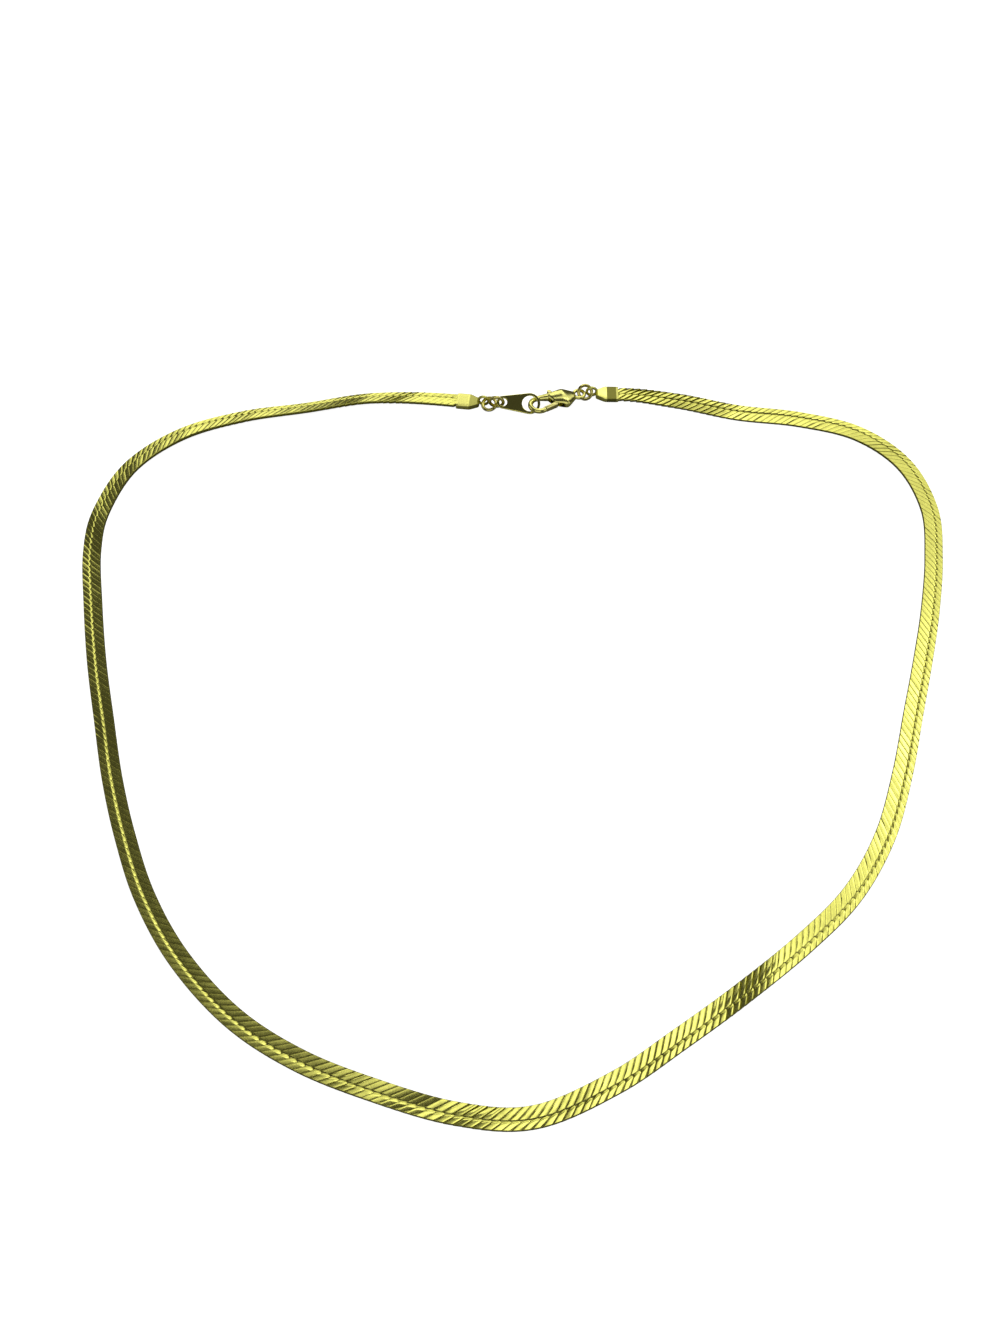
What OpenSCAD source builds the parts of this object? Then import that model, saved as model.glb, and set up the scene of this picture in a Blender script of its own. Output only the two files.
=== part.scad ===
// Herringbone chain necklace, closed by a lobster claw clasp, lying flat on a table.
// Millimetres, +Z up, resting on Z = 0, with the origin under the middle of the whole loop.
// The clasp is at the far side (+Y), and the band leaves the right cap towards +X.

/* [Chain band] */
// Width of the flat chain
band_w = 3.4; // [2.8:0.1:4.2]
// Thickness of the flat chain
band_t = 0.7; // [0.6:0.05:0.9]
// Bevel along the four long edges of the chain
band_edge = 0.18; // [0.1:0.02:0.24]

/* [End caps] */
// Length of the cap's plate, from its mouth to its tip
cap_len = 4.8; // [4.4:0.1:5.6]
// Depth of the pocket that takes the end of the chain
cap_pocket = 2; // [1.5:0.1:2.2]
// Distance from the mouth to where the plate starts to taper
cap_shoulder = 2.8; // [2.5:0.1:3.2]
// Wall above, below and beside the chain in the pocket
cap_wall = 0.18; // [0.15:0.01:0.25]
// Width of the plate at its tip
cap_tip_w = 1.8; // [1.4:0.1:2.2]
// Wire of the loop on the tip
loop_wire_d = 0.6; // [0.5:0.05:0.7]
// Hole of the loop on the tip
loop_hole_d = 1.45; // [1.4:0.05:1.6]

/* [Jump rings] */
// Wire of the jump rings
ring_wire_d = 0.7; // [0.6:0.02:0.72]
// Hole of the jump rings
ring_hole_d = 2.15; // [2.1:0.05:2.4]

/* [Tag] */
// Distance between the centres of the tag's two holes
tag_len = 5.6; // [5.4:0.1:6.5]
// Thickness of the tag
tag_t = 0.42; // [0.36:0.02:0.44]
// Outer diameter of the round eye
tag_eye_d = 4.4; // [4.3:0.05:4.6]
// Hole of the round eye
tag_eye_hole_d = 3.3; // [3.25:0.05:3.4]
// Outer diameter of the narrow end
tag_end_d = 2.7; // [2.6:0.1:3]
// Hole of the narrow end
tag_end_hole_d = 1.65; // [1.6:0.05:1.75]

/* [Clasp] */
// From the centre of the tail eye to the wire's centre at the hook's front
clasp_reach = 10.9; // [10.4:0.1:11.6]
// Thickness of the claw's body
clasp_t = 2.6; // [2.5:0.1:2.8]
// Width of the claw's body
clasp_w = 5; // [4.8:0.1:5.4]
// Wire of the hook
hook_wire_d = 1.08; // [0.98:0.02:1.1]
// Radius of the hook's bend, at the wire's centre
hook_r = 1.85; // [1.8:0.05:2]
// Wire of the tail eye
tail_wire_d = 0.75; // [0.7:0.05:0.8]
// Hole of the tail eye
tail_hole_d = 1.55; // [1.5:0.05:1.7]

/* [Clasp lever] */
// Thickness of the lever
lever_t = 1; // [0.8:0.05:1.1]
// Width of the lever's arms
lever_w = 0.8; // [0.7:0.05:0.9]
// Diameter of the pin that the lever turns on
pin_d = 0.7; // [0.6:0.05:0.8]
// How far the thumb nub stands out of the claw's back
nub_out = 0.6; // [0.4:0.1:0.8]

/* [Hidden] */

// Fineness of round faces, and of the balls whose hull rounds a body or a thin plate
ROUND_FN = 48;
BALL_FN = 28;
PLATE_BALL_FN = 12;
// Clearance round the chain in its pocket, at the lever's faces, and at its pin
POCKET_FIT = 0.03;
LEVER_FIT = 0.06;
PIN_FIT = 0.05;

// The chain's line, clockwise from the right cap's mouth to the last point before the left cap.
// Columns: x, y, and roll, which lifts the outer edge when it is above zero.
ROUTE = [
    [22, 74.75, 0], [34.5, 72.5, 16], [46.5, 69, 19], [59.5, 67, 16], [71, 63, 12],
    [79, 54.5, 7], [82, 42.5, 1], [80.5, 30, 0], [77.5, 17.5, 0], [74, 6, 0], [70, -6, 0],
    [66, -18, 0], [61, -30, 0], [54, -40.5, 0], [45, -49, 0], [34, -57.5, 0], [24, -64.5, 0],
    [14, -71, 0], [2, -76, 0], [-9.5, -75.5, 0], [-22, -72, 0], [-33.5, -67.5, 0], [-44, -61, 0],
    [-53.5, -51.5, 0], [-60.5, -41, 0], [-65.5, -30, 0], [-69.5, -19, 0], [-73, -7, 0],
    [-76.5, 5.5, 0], [-79.5, 18.5, 0], [-82, 31.5, 0], [-82, 42, -1], [-78, 54, -5],
    [-69, 63, -7], [-57, 68, -10], [-44, 70.5, -15], [-29.5, 73.5, -13]
];
RINGS_PER_STEP = 2;

// Headings seen from above, in degrees from +X, from each piece to the next one on its left
RIGHT_CAP_HEADING = 179;
RIGHT_RING_HEADING = 191;
CLASP_HEADING = 201;
TAG_HEADING = 180;
INNER_RING_HEADING = 175;
OUTER_RING_HEADING = 173;
LEFT_LINK_HEADING = 149;
LEFT_CAP_HEADING = 173;
// Turn of the lines that two of the rings lean about, from the ring's own heading
RIGHT_RING_TWIST = 6;
OUTER_RING_TWIST = -19;
// Lean of each ring and of the tag from the flat, with its far edge up
RIGHT_RING_LEAN = 45;
INNER_RING_LEAN = 98;
OUTER_RING_LEAN = 20;
TAG_LEAN = 34.5;
// Height of a ring's or the tag's lowest edge over the table, where another piece holds it up
INNER_RING_UP = 0.05;
OUTER_RING_UP = 0.19;
TAG_UP = 0.01;

function heading(a) = [cos(a), sin(a)];
function flat(v) = [v[0], v[1]];

// Jump rings: radius of the wire's centre line, and height of the centre of a leaning ring
ring_r = (ring_hole_d + ring_wire_d) / 2;
function ring_z(lean, up = 0) = ring_r * sin(lean) + ring_wire_d / 2 + up;

// End caps
cap_w = band_w + 2 * (POCKET_FIT + cap_wall);
cap_t = band_t + 2 * (POCKET_FIT + cap_wall);
cap_round = 0.7 * cap_wall;
loop_r = (loop_hole_d + loop_wire_d) / 2;
loop_x = cap_len + loop_r - loop_wire_d / 4;
loop_z = loop_r + loop_wire_d / 2;

// Clasp, in its own frame: X from the tail eye's centre to the hook, Z across its thickness
tail_r = (tail_hole_d + tail_wire_d) / 2;
hook_x = clasp_reach - hook_r;
hull_r = clasp_t / 2;
NECK_FROM_EYE = 0.15;
NECK_SPREAD = 0.5;
NECK_R = 0.8;
neck = [tail_r + tail_wire_d / 2 + NECK_FROM_EYE, NECK_SPREAD];
BELLY_SHARE = 0.31;
belly = [BELLY_SHARE * clasp_reach, clasp_w / 2 - hull_r];
// Front of the body: the cheek on the gate's side, and the root of the hook's arm
CHEEK_AHEAD = 1.85;
CHEEK_IN = 1.4;
CHEEK_R = 0.95;
cheek = [belly[0] + CHEEK_AHEAD, hook_r - CHEEK_IN];
ROOT_AHEAD = 2.65;
ROOT_IN = 0.45;
ROOT_R = 0.9;
arm_root = [belly[0] + ROOT_AHEAD, ROOT_IN - hook_r];
PIN_AHEAD = 1.6;
PIN_ASIDE = 0.2;
pivot = [belly[0] + PIN_AHEAD, PIN_ASIDE];
HUB_WALL = 0.5;
hub_r = pin_d / 2 + HUB_WALL;
// The hook's bend turns on past the half circle to its tip, which the gate closes against
TIP_TURN = 24;
gate_tip = [hook_x - hook_r * sin(TIP_TURN), hook_r * cos(TIP_TURN)];
gate_reach = norm(gate_tip - pivot);
HEEL_AHEAD = 2.35;
HEEL_IN = 0.6;
gate_heel = [belly[0] + HEEL_AHEAD, hook_r - HEEL_IN];
NUB_AHEAD = 0.8;
nub_tip = [pivot[0] + NUB_AHEAD, -clasp_w / 2 - nub_out + lever_w / 2];
LEVER_SWING = 24;
// Turn past the open lever that the nub's channel still leaves free
SWING_SPARE = 6;

// Where the pieces lie, each one found from the piece before it
right_mouth = flat(ROUTE[0]);
right_loop = right_mouth + loop_x * heading(RIGHT_CAP_HEADING);
right_ring = right_loop + ring_r * heading(RIGHT_RING_HEADING);
tail_eye = right_ring + ring_r * heading(CLASP_HEADING);
// The tag's eye lies round the front of the hook's bend, a little back and towards its fixed arm
EYE_BACK = 0.1;
EYE_ASIDE = 0.95;
tag_eye = tail_eye + (clasp_reach - EYE_BACK) * heading(CLASP_HEADING)
    + EYE_ASIDE * heading(CLASP_HEADING - 90);
tag_eye_z = tag_eye_d / 2 * sin(TAG_LEAN) + tag_t / 2 * cos(TAG_LEAN) + TAG_UP;
inner_z = ring_z(INNER_RING_LEAN, INNER_RING_UP);
tag_pitch = asin((inner_z - tag_eye_z) / tag_len);
tag_end = tag_eye + tag_len * cos(tag_pitch) * heading(TAG_HEADING);
inner_ring = tag_end + ring_r * heading(INNER_RING_HEADING);
RING_TO_RING = 1.07;
outer_ring = inner_ring + RING_TO_RING * ring_r * heading(OUTER_RING_HEADING);
left_loop = outer_ring + ring_r * heading(LEFT_LINK_HEADING);
left_mouth = left_loop + loop_x * heading(LEFT_CAP_HEADING);

// The chain's line as knots, with one more knot past each end that sets its direction there
knots = concat(ROUTE, [[left_mouth[0], left_mouth[1], 0]]);
steps = len(knots) - 1;
right_out = heading(RIGHT_CAP_HEADING);
left_out = -heading(LEFT_CAP_HEADING);

function span(i) = norm(flat(knots[i + 1]) - flat(knots[i]));
function before() = concat(flat(knots[1]) + 2 * span(0) * right_out, 0);
function after() = concat(flat(knots[steps - 1]) + 2 * span(steps - 1) * left_out, 0);
function knot(i) = i < 0 ? before() : i > steps ? after() : knots[i];

// A smooth curve through the knots, and its direction, at share u of step i
function spot(i, u) = 0.5 * (2 * knot(i) + (knot(i + 1) - knot(i - 1)) * u
    + (2 * knot(i - 1) - 5 * knot(i) + 4 * knot(i + 1) - knot(i + 2)) * u * u
    + (3 * knot(i) - knot(i - 1) - 3 * knot(i + 1) + knot(i + 2)) * u * u * u);
function slope(i, u) = 0.5 * ((knot(i + 1) - knot(i - 1))
    + 2 * (2 * knot(i - 1) - 5 * knot(i) + 4 * knot(i + 1) - knot(i + 2)) * u
    + 3 * (3 * knot(i) - knot(i - 1) - 3 * knot(i + 1) + knot(i + 2)) * u * u);

// The chain comes down from the middle of a cap to the table along the step next to it
cap_lift = (cap_t - band_t) / 2;
function ease(u) = u * u * (3 - 2 * u);
function lift(i, u) = i == 0 ? cap_lift * (1 - ease(u)) : i == steps - 1 ? cap_lift * ease(u) : 0;
function rest(roll) = max(
    band_w / 2 * abs(sin(roll)) + (band_t / 2 - band_edge) * cos(roll),
    (band_w / 2 - band_edge) * abs(sin(roll)) + band_t / 2 * cos(roll));

// One ring of the swept band: place, heading and roll make the eight corners of its section
function ring_at(p, a, roll) = [for (c = SECTION) [
    p[0] - sin(a) * (c[0] * cos(roll) - c[1] * sin(roll)),
    p[1] + cos(a) * (c[0] * cos(roll) - c[1] * sin(roll)),
    p[2] + c[0] * sin(roll) + c[1] * cos(roll)]];
SECTION = [
    [band_w / 2, band_edge - band_t / 2], [band_w / 2, band_t / 2 - band_edge],
    [band_w / 2 - band_edge, band_t / 2], [band_edge - band_w / 2, band_t / 2],
    [-band_w / 2, band_t / 2 - band_edge], [-band_w / 2, band_edge - band_t / 2],
    [band_edge - band_w / 2, -band_t / 2], [band_w / 2 - band_edge, -band_t / 2]];
SIDES = len(SECTION);

function ring_of(i, u) = let(k = spot(i, u), d = slope(i, u))
    ring_at([k[0], k[1], rest(k[2]) + lift(i, u)], atan2(d[1], d[0]), k[2]);
// The end of the band, as deep in the cap's pocket as the fit allows
function end_ring(mouth, out, a) = let(deep = cap_pocket - POCKET_FIT)
    ring_at([mouth[0] + deep * out[0], mouth[1] + deep * out[1], cap_t / 2], a, 0);

band_rings = concat(
    [end_ring(right_mouth, right_out, RIGHT_CAP_HEADING + 180)],
    [for (i = [0 : steps - 1]) for (j = [0 : RINGS_PER_STEP - 1]) ring_of(i, j / RINGS_PER_STEP)],
    [ring_of(steps - 1, 1)],
    [end_ring(left_mouth, left_out, LEFT_CAP_HEADING + 180)]);
band_points = [for (ring = band_rings) for (p = ring) p];
ring_count = len(band_rings);

// Middle of the whole loop, which the origin lies under; the right cap's mouth is its far edge
cap_far_y = right_mouth[1] + cap_w / 2 * abs(cos(RIGHT_CAP_HEADING));
loop_xs = [for (p = band_points) p[0]];
loop_ys = concat([for (p = band_points) p[1]], [cap_far_y]);
loop_mid = [(max(loop_xs) + min(loop_xs)) / 2, (max(loop_ys) + min(loop_ys)) / 2];

// Moves a piece drawn at its own origin to a place on the table, at height z
module lay(place, z) translate([place[0] - loop_mid[0], place[1] - loop_mid[1], z]) children();

module ball(x, y, z, r, fn = BALL_FN) translate([x, y, z]) sphere(r = r, $fn = fn);

module wire_ring(r, wire_d, from = 0, sweep = 360)
    rotate([0, 0, from]) rotate_extrude(angle = sweep, $fn = ROUND_FN)
        translate([r, 0]) circle(d = wire_d, $fn = ROUND_FN);

module chain_band()
    color("gold") translate([-loop_mid[0], -loop_mid[1], 0])
        polyhedron(points = band_points, faces = concat(
            [[for (c = [0 : SIDES - 1]) SIDES - 1 - c]],
            [for (k = [0 : ring_count - 2]) for (c = [0 : SIDES - 1])
                [k * SIDES + c, k * SIDES + (c + 1) % SIDES, (k + 1) * SIDES + (c + 1) % SIDES]],
            [for (k = [0 : ring_count - 2]) for (c = [0 : SIDES - 1])
                [k * SIDES + c, (k + 1) * SIDES + (c + 1) % SIDES, (k + 1) * SIDES + c]],
            [[for (c = [0 : SIDES - 1]) (ring_count - 1) * SIDES + c]]));

// Tapered plate with rounded edges, a pocket in its wide end and a loop on edge at its tip
module end_cap() {
    wide = cap_w / 2 - cap_round;
    narrow = cap_tip_w / 2 - cap_round;
    difference() {
        hull() {
            for (z = [cap_round, cap_t - cap_round]) for (side = [-1, 1]) {
                ball(cap_round, side * wide, z, cap_round, PLATE_BALL_FN);
                ball(cap_shoulder, side * wide, z, cap_round, PLATE_BALL_FN);
                ball(cap_len - cap_round, side * narrow, z, cap_round, PLATE_BALL_FN);
            }
        }
        translate([-1, -band_w / 2 - POCKET_FIT, cap_wall])
            cube([cap_pocket + 1, band_w + 2 * POCKET_FIT, band_t + 2 * POCKET_FIT]);
    }
    translate([loop_x, 0, loop_z]) rotate([90, 0, 0]) wire_ring(loop_r, loop_wire_d);
}

module end_cap_right()
    color("gold") lay(right_mouth, 0) rotate([0, 0, RIGHT_CAP_HEADING]) end_cap();

module end_cap_left()
    color("gold") lay(left_mouth, 0) rotate([0, 0, LEFT_CAP_HEADING + 180]) end_cap();

module jump_ring(place, z, a, lean)
    color("goldenrod") lay(place, z) rotate([-lean, 0, a]) wire_ring(ring_r, ring_wire_d);

module jump_ring_right()
    jump_ring(right_ring, ring_z(RIGHT_RING_LEAN), RIGHT_RING_HEADING + RIGHT_RING_TWIST,
              RIGHT_RING_LEAN);

module jump_ring_left_inner()
    jump_ring(inner_ring, inner_z, INNER_RING_HEADING, INNER_RING_LEAN);

module jump_ring_left_outer()
    jump_ring(outer_ring, ring_z(OUTER_RING_LEAN, OUTER_RING_UP),
              OUTER_RING_HEADING + OUTER_RING_TWIST, OUTER_RING_LEAN);

// Flat tag in its own frame: the eye's centre at the origin and the narrow end along +X. Its
// straight sides start a hair inside the round ends, so that they meet in clean edges.
SIDE_SINK = 0.02;
module tag() {
    eye_r = tag_eye_d / 2 - SIDE_SINK;
    end_r = tag_end_d / 2 - SIDE_SINK;
    fall = acos((eye_r - end_r) / tag_len);
    difference() {
        union() {
            cylinder(d = tag_eye_d, h = tag_t, center = true, $fn = ROUND_FN);
            translate([tag_len, 0, 0])
                cylinder(d = tag_end_d, h = tag_t, center = true, $fn = ROUND_FN);
            linear_extrude(tag_t, center = true) polygon([
                eye_r * heading(fall), eye_r * heading(-fall),
                [tag_len, 0] + end_r * heading(-fall), [tag_len, 0] + end_r * heading(fall)]);
        }
        cylinder(d = tag_eye_hole_d, h = 2 * tag_t, center = true, $fn = ROUND_FN);
        translate([tag_len, 0, 0])
            cylinder(d = tag_end_hole_d, h = 2 * tag_t, center = true, $fn = ROUND_FN);
    }
}

module tag_plate()
    color("gold") lay(tag_eye, tag_eye_z) rotate([-TAG_LEAN, -tag_pitch, TAG_HEADING]) tag();

// A straight bar that tapers between two spots of the clasp's middle plane
module taper(p, q, rp, rq)
    translate([p[0], p[1], 0]) rotate([0, 0, atan2(q[1] - p[1], q[0] - p[0])]) rotate([0, 90, 0])
        cylinder(r1 = rp, r2 = rq, h = norm(q - p), $fn = ROUND_FN);

// Puffed body between the tail and the hook's arm
module claw_shell() hull() {
    for (side = [-1, 1]) {
        ball(neck[0], side * neck[1], 0, NECK_R);
        ball(belly[0], side * belly[1], 0, hull_r);
    }
    ball(cheek[0], cheek[1], 0, CHEEK_R);
    ball(arm_root[0], arm_root[1], 0, ROOT_R);
}

// Room for the lever inside the body: open on the gate's side, and a channel for the nub
module lever_room() {
    room_t = lever_t + 2 * LEVER_FIT;
    room_x = pivot[0] - hub_r - 2 * LEVER_FIT;
    room_y = pivot[1] - hub_r - 2 * LEVER_FIT;
    nub_r = norm(nub_tip - pivot);
    nub_lean = atan2(nub_tip[0] - pivot[0], pivot[1] - nub_tip[1]);
    nub_x = pivot[0] - nub_r * sin(LEVER_SWING + SWING_SPARE - nub_lean) - lever_w / 2 - LEVER_FIT;
    room_end = cheek[0] + 1.5 * CHEEK_R;
    translate([room_x, room_y, -room_t / 2]) cube([room_end - room_x, clasp_w, room_t]);
    translate([nub_x, -clasp_w, -room_t / 2])
        cube([nub_tip[0] + lever_w / 2 + LEVER_FIT - nub_x, clasp_w + pivot[1], room_t]);
}

// Wedge that the gate's tip sweeps, taken out of the hook's tip
module gate_room()
    intersection() {
        translate([pivot[0], pivot[1], 0])
            cylinder(r = gate_reach + 2 * LEVER_FIT, h = 2 * hook_wire_d, center = true, $fn = ROUND_FN);
        translate([gate_tip[0] - hook_wire_d, pivot[1], -hook_wire_d])
            cube([clasp_reach, clasp_w, 2 * hook_wire_d]);
    }

module claw() {
    difference() {
        union() {
            claw_shell();
            taper(arm_root, [hook_x, -hook_r], ROOT_R, hook_wire_d / 2);
            translate([hook_x, 0, 0]) wire_ring(hook_r, hook_wire_d, -90, 180 + TIP_TURN);
        }
        lever_room();
        gate_room();
    }
    wire_ring(tail_r, tail_wire_d);
    translate([pivot[0], pivot[1], 0])
        cylinder(d = pin_d, h = clasp_t + 0.1, center = true, $fn = ROUND_FN);
}

// Flat bar with round ends between two spots, as thick as the lever
module arm(p, q) {
    linear_extrude(lever_t, center = true) translate(p)
        rotate([0, 0, atan2(q[1] - p[1], q[0] - p[0])])
            translate([0, -lever_w / 2]) square([norm(q - p), lever_w]);
    for (end = [p, q])
        translate([end[0], end[1], 0])
            cylinder(d = lever_w, h = lever_t, center = true, $fn = ROUND_FN);
}

module lever() {
    difference() {
        union() {
            translate([pivot[0], pivot[1], 0])
                cylinder(r = hub_r, h = lever_t, center = true, $fn = ROUND_FN);
            arm(pivot, gate_heel);
            arm(pivot, nub_tip);
            intersection() {
                arm(gate_heel, gate_tip);
                translate([pivot[0], pivot[1], 0])
                    cylinder(r = gate_reach, h = clasp_t, center = true, $fn = ROUND_FN);
            }
        }
        translate([pivot[0], pivot[1], 0])
            cylinder(d = pin_d + 2 * PIN_FIT, h = clasp_t, center = true, $fn = ROUND_FN);
    }
}

module clasp_body()
    color("gold") lay(tail_eye, clasp_t / 2) rotate([0, 0, CLASP_HEADING]) claw();

module clasp_lever()
    color("goldenrod") lay(tail_eye, clasp_t / 2) rotate([0, 0, CLASP_HEADING]) lever();

chain_band();
end_cap_right();
end_cap_left();
jump_ring_right();
jump_ring_left_outer();
jump_ring_left_inner();
tag_plate();
clasp_body();
clasp_lever();
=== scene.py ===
"""Herringbone chain necklace with a lobster claw clasp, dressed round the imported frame.

The necklace lies as one loop on a pale table. Sizes are in millimetres in the drawing of the
route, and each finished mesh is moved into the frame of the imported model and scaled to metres.
"""
import logging
import math
from dataclasses import dataclass, field
from enum import Enum

import bmesh
import bpy
import numpy as np
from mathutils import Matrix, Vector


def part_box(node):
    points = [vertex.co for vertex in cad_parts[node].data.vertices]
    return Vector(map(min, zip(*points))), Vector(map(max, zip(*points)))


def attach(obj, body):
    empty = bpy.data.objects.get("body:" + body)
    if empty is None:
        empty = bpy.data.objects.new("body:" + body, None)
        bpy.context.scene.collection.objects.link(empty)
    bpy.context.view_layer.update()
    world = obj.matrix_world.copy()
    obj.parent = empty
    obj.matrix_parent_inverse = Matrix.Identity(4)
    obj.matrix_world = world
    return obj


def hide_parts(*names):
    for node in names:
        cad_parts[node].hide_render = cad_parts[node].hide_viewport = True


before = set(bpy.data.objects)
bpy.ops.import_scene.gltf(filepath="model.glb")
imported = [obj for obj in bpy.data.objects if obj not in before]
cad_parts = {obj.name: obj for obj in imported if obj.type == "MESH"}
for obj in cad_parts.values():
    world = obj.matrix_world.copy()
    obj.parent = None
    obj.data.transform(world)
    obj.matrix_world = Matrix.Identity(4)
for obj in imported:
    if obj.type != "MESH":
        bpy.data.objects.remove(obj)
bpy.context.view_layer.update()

LOG = logging.getLogger("necklace")
MM = 0.001
SEED = 20
Array = np.ndarray

# The chain's line, clockwise from the right cap's mouth to the last point before the left cap.
# Columns: x, y in millimetres, and roll in degrees, which lifts the outer edge when above zero.
ROUTE = [
    [22, 74.75, 0], [34.5, 72.5, 16], [46.5, 69, 19], [59.5, 67, 16], [71, 63, 12],
    [79, 54.5, 7], [82, 42.5, 1], [80.5, 30, 0], [77.5, 17.5, 0], [74, 6, 0], [70, -6, 0],
    [66, -18, 0], [61, -30, 0], [54, -40.5, 0], [45, -49, 0], [34, -57.5, 0], [24, -64.5, 0],
    [14, -71, 0], [2, -76, 0], [-9.5, -75.5, 0], [-22, -72, 0], [-33.5, -67.5, 0], [-44, -61, 0],
    [-53.5, -51.5, 0], [-60.5, -41, 0], [-65.5, -30, 0], [-69.5, -19, 0], [-73, -7, 0],
    [-76.5, 5.5, 0], [-79.5, 18.5, 0], [-82, 31.5, 0], [-82, 42, -1], [-78, 54, -5],
    [-69, 63, -7], [-57, 68, -10], [-44, 70.5, -15], [-29.5, 73.5, -13],
]


class Row(Enum):
    """The two rows of slanted bars, by the side of the band's middle line that they lie on."""

    OUTER = 1
    INNER = -1


def heading(degrees: float) -> Array:
    """Unit vector in the table's plane at an angle from +X."""
    return np.array([math.cos(math.radians(degrees)), math.sin(math.radians(degrees))])


def turn_x(points: Array, degrees: float) -> Array:
    """Points turned about X: (x, y cos a - z sin a, y sin a + z cos a)."""
    c, s = math.cos(math.radians(degrees)), math.sin(math.radians(degrees))
    return points @ np.array([[1, 0, 0], [0, c, -s], [0, s, c]]).T


def turn_y(points: Array, degrees: float) -> Array:
    """Points turned about Y: (x cos a + z sin a, y, z cos a - x sin a)."""
    c, s = math.cos(math.radians(degrees)), math.sin(math.radians(degrees))
    return points @ np.array([[c, 0, s], [0, 1, 0], [-s, 0, c]]).T


def turn_z(points: Array, degrees: float) -> Array:
    """Points turned about Z: (x cos a - y sin a, x sin a + y cos a, z)."""
    c, s = math.cos(math.radians(degrees)), math.sin(math.radians(degrees))
    return points @ np.array([[c, -s, 0], [s, c, 0], [0, 0, 1]]).T


def ease(u: Array) -> Array:
    """Smooth step from 0 to 1: 3u^2 - 2u^3 for u clipped to 0..1."""
    u = np.clip(u, 0.0, 1.0)
    return u * u * (3.0 - 2.0 * u)


@dataclass
class Shell:
    """A mesh in the making: points in millimetres, faces, and a value on each point.

    The value is painted shade: it runs from 0 on open, polished metal to 1 where most shade is
    painted, deep between the bars, in the caps' pockets and on the links under the bars.
    """

    points: Array
    faces: list
    groove: Array

    def moved(self, place: Array, z: float) -> "Shell":
        """The same shell moved to a place in the drawing, at height z."""
        return Shell(self.points + np.array([place[0], place[1], z]), self.faces, self.groove)


def joined(shells: list[Shell]) -> Shell:
    """Puts several shells into one.

    Args:
        shells: The shells, in order.

    Returns:
        One shell with all their points and faces.
    """
    faces, start = [], 0
    for shell in shells:
        faces += [[start + i for i in face] for face in shell.faces]
        start += len(shell.points)
    points = np.concatenate([shell.points for shell in shells])
    return Shell(points, faces, np.concatenate([shell.groove for shell in shells]))


def tube_faces(rows: int, cols: int, close_ends: bool = True, ring: bool = False) -> list:
    """Faces of a grid of rows x cols points whose columns wrap round.

    Args:
        rows: Number of sections along the tube.
        cols: Number of points round each section.
        close_ends: Puts one flat face on each end.
        ring: Joins the last section to the first one.

    Returns:
        Quads (r, c), (r, c+1), (r+1, c+1), (r+1, c), and the two end faces.
    """
    r, c = np.meshgrid(np.arange(rows if ring else rows - 1), np.arange(cols), indexing="ij")
    nr, nc = (r + 1) % rows, (c + 1) % cols
    quads = np.stack([r * cols + c, r * cols + nc, nr * cols + nc, nr * cols + c], -1)
    faces = quads.reshape(-1, 4).tolist()
    if close_ends and not ring:
        faces.append(list(range(cols))[::-1])
        faces.append(list(range((rows - 1) * cols, rows * cols)))
    return faces


def skin(grid: Array, groove: Array | float = 0.0, ring: bool = False) -> Shell:
    """A closed shell over a grid of points (rows, cols, 3) whose columns wrap round.

    Args:
        grid: The points.
        groove: The painted shade, one value for all points, or an array spread over rows and
            columns.
        ring: Joins the last section to the first one, in place of a face on each end.

    Returns:
        The shell.
    """
    rows, cols = grid.shape[:2]
    spread_shade = np.broadcast_to(groove, (rows, cols)).ravel()
    return Shell(grid.reshape(-1, 3), tube_faces(rows, cols, ring=ring), spread_shade)


def squared(v: Array, power: float) -> tuple[Array, Array]:
    """A round section pressed squarer: (sgn(cos v) |cos v|^e, sgn(sin v) |sin v|^e), e under 1."""
    c, s = np.cos(v), np.sin(v)
    return np.sign(c) * np.abs(c) ** power, np.sign(s) * np.abs(s) ** power


def torus(radius: float, wire: float, slit: float = 0.0, rows: int = 64, cols: int = 20) -> Shell:
    """A wire ring flat in XY: p(t, v) = ((R + r cos v) cos t, (R + r cos v) sin t, r sin v).

    Args:
        radius: Radius R of the wire's centre line.
        wire: Diameter 2r of the wire.
        slit: Width of the cut where the ring was opened, at t = 0, or none.
        rows: Sections along the ring.
        cols: Points round the wire.

    Returns:
        The ring, whole or with its cut ends rounded in.
    """
    v = np.linspace(0, 2 * np.pi, cols, endpoint=False)
    if slit <= 0:
        t = np.linspace(0, 2 * np.pi, rows, endpoint=False)
        r = np.full(rows, wire / 2)
    else:
        edge, rounding, end_share = slit / 2 / radius, 0.03, 0.86
        whole = np.linspace(edge + rounding, 2 * np.pi - edge - rounding, rows)
        t = np.concatenate([[edge], whole, [2 * np.pi - edge]])
        r = np.full(rows + 2, wire / 2)
        r[[0, -1]] *= end_share
    out = radius + r[:, None] * np.cos(v)
    t = t[:, None]
    grid = np.stack([out * np.cos(t), out * np.sin(t), r[:, None] * np.sin(v)], -1)
    return skin(grid, ring=slit <= 0)


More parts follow.
